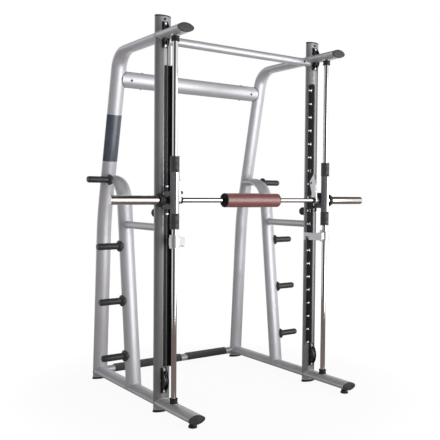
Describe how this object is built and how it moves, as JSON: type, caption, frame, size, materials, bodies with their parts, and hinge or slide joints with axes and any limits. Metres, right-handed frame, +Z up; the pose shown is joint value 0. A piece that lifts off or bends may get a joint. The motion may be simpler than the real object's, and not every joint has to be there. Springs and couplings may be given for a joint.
{
  "type": "smith machine",
  "caption": "Free-standing smith machine: tube frame, barbell on guide rods with peg racks, turning hooks, counterweights, safety stops and plate storage horns.",
  "frame": {"origin": "on the floor, under the middle of the bounding box", "axes": "+X along the bar to the right as seen from the front, -Y to the front where the guide rods are, +Z up"},
  "size_m": [1.834, 1.214, 2.2],
  "materials": {
    "frame_paint": "silver-grey metallic powder coat, satin",
    "post_paint": "grey metallic powder coat, satin",
    "black_paint": "black powder coat, semi-gloss",
    "charcoal_paint": "charcoal powder coat, matt",
    "carriage_paint": "grey powder coat, satin",
    "chrome": "polished hard chrome",
    "zinc": "bright polished steel",
    "dark_cable": "dark steel rope",
    "weight_iron": "plain cast iron",
    "bush_bronze": "machined bearing bronze",
    "bush_plastic": "black bearing housing",
    "cap_plastic": "dark grey moulded cap",
    "pulley_plastic": "black nylon sheave",
    "rubber": "black rubber, matt",
    "tread_rubber": "dark grey ribbed rubber",
    "pad_vinyl": "reddish-brown vinyl over foam",
    "label_film": "bare navy film"
  },
  "bodies": {
    "frame": {"left_base_tube": "frame_paint", "right_base_tube": "frame_paint", "left_post": "post_paint", "right_post": "post_paint", "left_rear_leg": "frame_paint", "right_rear_leg": "frame_paint", "left_top_stub": "frame_paint", "right_top_stub": "frame_paint", "left_plate_leg": "frame_paint", "right_plate_leg": "frame_paint", "braces": "frame_paint", "top_cross_tube": "frame_paint", "upper_rear_cross_tube": "frame_paint", "rear_base_tube": "frame_paint", "rear_treads": "tread_rubber", "tube_end_caps": "cap_plastic", "rubber_feet": "rubber", "post_buffers": "rubber", "label_panel": "label_film", "cross_tube_bolts": "black_paint", "left_plate_horns": "charcoal_paint", "right_plate_horns": "charcoal_paint", "horn_collars": "charcoal_paint", "left_guide_rod": "chrome", "right_guide_rod": "chrome", "rod_collars": "black_paint", "left_rack": "black_paint", "right_rack": "black_paint", "left_rack_pegs": "chrome", "right_rack_pegs": "chrome", "pulley_brackets": "black_paint", "pulley_pins": "zinc", "left_cable": "dark_cable", "right_cable": "dark_cable"},
    "carriages": {"left_carriage_tube": "carriage_paint", "right_carriage_tube": "carriage_paint", "linear_bushes": "bush_plastic", "left_bar_block": "black_paint", "right_bar_block": "black_paint", "bar_bushes": "bush_bronze", "cable_clamps": "zinc"},
    "bar": {"bar_shaft": "chrome", "left_plate_sleeve": "chrome", "right_plate_sleeve": "chrome", "sleeve_collars": "rubber", "sleeve_end_caps": "chrome", "left_hook": "zinc", "right_hook": "zinc", "hook_rings": "rubber", "bar_pad": "pad_vinyl"},
    "left_weight": {"left_counterweight": "weight_iron"},
    "right_weight": {"right_counterweight": "weight_iron"},
    "left_top_wheel": {"left_top_pulley": "pulley_plastic"},
    "left_low_wheel": {"left_low_pulley": "pulley_plastic"},
    "right_top_wheel": {"right_top_pulley": "pulley_plastic"},
    "right_low_wheel": {"right_low_pulley": "pulley_plastic"},
    "left_stop": {"left_stop_sleeve": "zinc"},
    "right_stop": {"right_stop_sleeve": "zinc"},
    "left_arm": {"left_stop_arm": "zinc"},
    "right_arm": {"right_stop_arm": "zinc"}
  },
  "joints": [
    {"name": "bar_lift", "type": "slide", "parent": "frame", "child": "carriages", "axis": [0, 0, 1], "range_m": [0, 0.595]},
    {"name": "bar_turn", "type": "hinge", "parent": "carriages", "child": "bar", "pos_m": [0, -0.324, 1.185], "axis": [1, 0, 0], "range_deg": [-12, 35]},
    {"name": "left_weight_slide", "type": "slide", "parent": "frame", "child": "left_weight", "axis": [0, 0, 1], "range_m": [-0.6, 0]},
    {"name": "left_top_pulley_spin", "type": "hinge", "parent": "frame", "child": "left_top_wheel", "pos_m": [-0.555, -0.253, 2.09], "axis": [1, 0, 0], "range_deg": [-1110, 0]},
    {"name": "left_low_pulley_spin", "type": "hinge", "parent": "frame", "child": "left_low_wheel", "pos_m": [-0.555, -0.253, 0.178], "axis": [1, 0, 0], "range_deg": [-1110, 0]},
    {"name": "left_stop_slide", "type": "slide", "parent": "frame", "child": "left_stop", "axis": [0, 0, 1], "range_m": [-0.68, 0]},
    {"name": "left_arm_swing", "type": "hinge", "parent": "left_stop", "child": "left_arm", "pos_m": [-0.555, -0.367, 0.957], "axis": [0, 0, -1], "range_deg": [-13, 50]},
    {"name": "right_weight_slide", "type": "slide", "parent": "frame", "child": "right_weight", "axis": [0, 0, 1], "range_m": [-0.6, 0]},
    {"name": "right_top_pulley_spin", "type": "hinge", "parent": "frame", "child": "right_top_wheel", "pos_m": [0.555, -0.253, 2.09], "axis": [1, 0, 0], "range_deg": [-1110, 0]},
    {"name": "right_low_pulley_spin", "type": "hinge", "parent": "frame", "child": "right_low_wheel", "pos_m": [0.555, -0.253, 0.178], "axis": [1, 0, 0], "range_deg": [-1110, 0]},
    {"name": "right_stop_slide", "type": "slide", "parent": "frame", "child": "right_stop", "axis": [0, 0, 1], "range_m": [-0.68, 0]},
    {"name": "right_arm_swing", "type": "hinge", "parent": "right_stop", "child": "right_arm", "pos_m": [0.555, -0.367, 0.957], "axis": [0, 0, 1], "range_deg": [-13, 50]}
  ],
  "couplings": [
    {"joint": "left_weight_slide", "follows": "bar_lift", "ratio": -1},
    {"joint": "left_top_pulley_spin", "follows": "bar_lift", "rad_per_m": -32.258},
    {"joint": "left_low_pulley_spin", "follows": "bar_lift", "rad_per_m": -32.258},
    {"joint": "right_weight_slide", "follows": "bar_lift", "ratio": -1},
    {"joint": "right_top_pulley_spin", "follows": "bar_lift", "rad_per_m": -32.258},
    {"joint": "right_low_pulley_spin", "follows": "bar_lift", "rad_per_m": -32.258}
  ]
}
